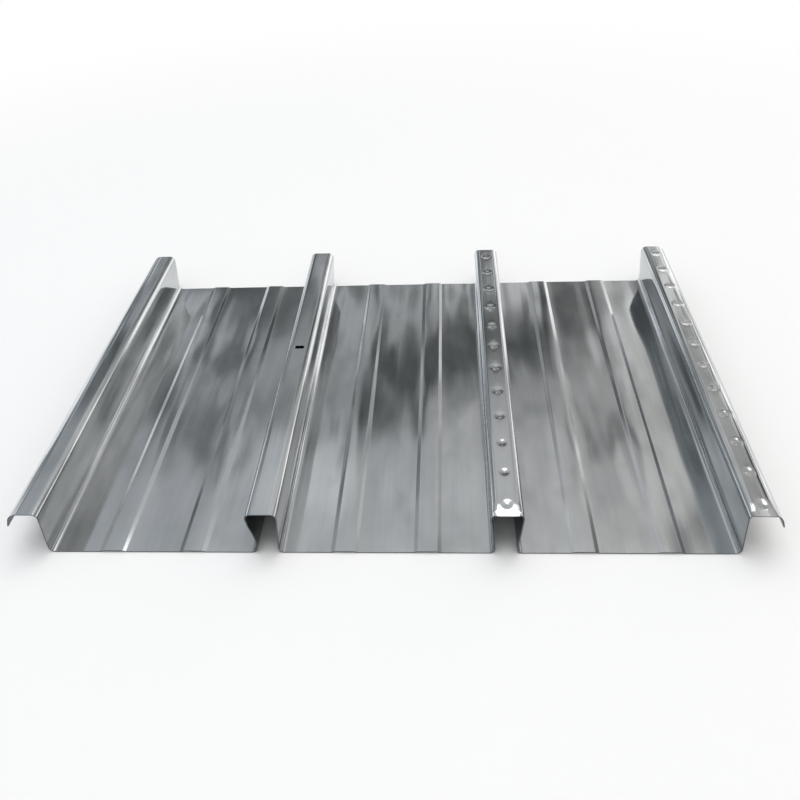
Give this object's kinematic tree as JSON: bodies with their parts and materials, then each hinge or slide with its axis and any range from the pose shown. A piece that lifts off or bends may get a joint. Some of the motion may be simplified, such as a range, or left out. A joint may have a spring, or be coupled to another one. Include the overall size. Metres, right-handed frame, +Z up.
{
  "type": "steel floor decking sheet",
  "caption": "Galvanised steel composite floor deck sheet: flat swaged pans between dovetail ribs, dimples along the tops of two ribs, a small slot in another, and a flared lip along each side edge.",
  "frame": {"origin": "middle of the sheet's underside, on the plane that the pans rest on", "axes": "+X across the ribs, +Y along the ribs from the front end to the back end, +Z up through the pans"},
  "size_m": [0.633, 0.425, 0.048],
  "materials": {
    "galvanised_steel": "hot-dip galvanised strip, semi-bright, with roll streaks along the ribs"
  },
  "bodies": {
    "root": {"deck_sheet": "galvanised_steel"}
  },
  "joints": []
}
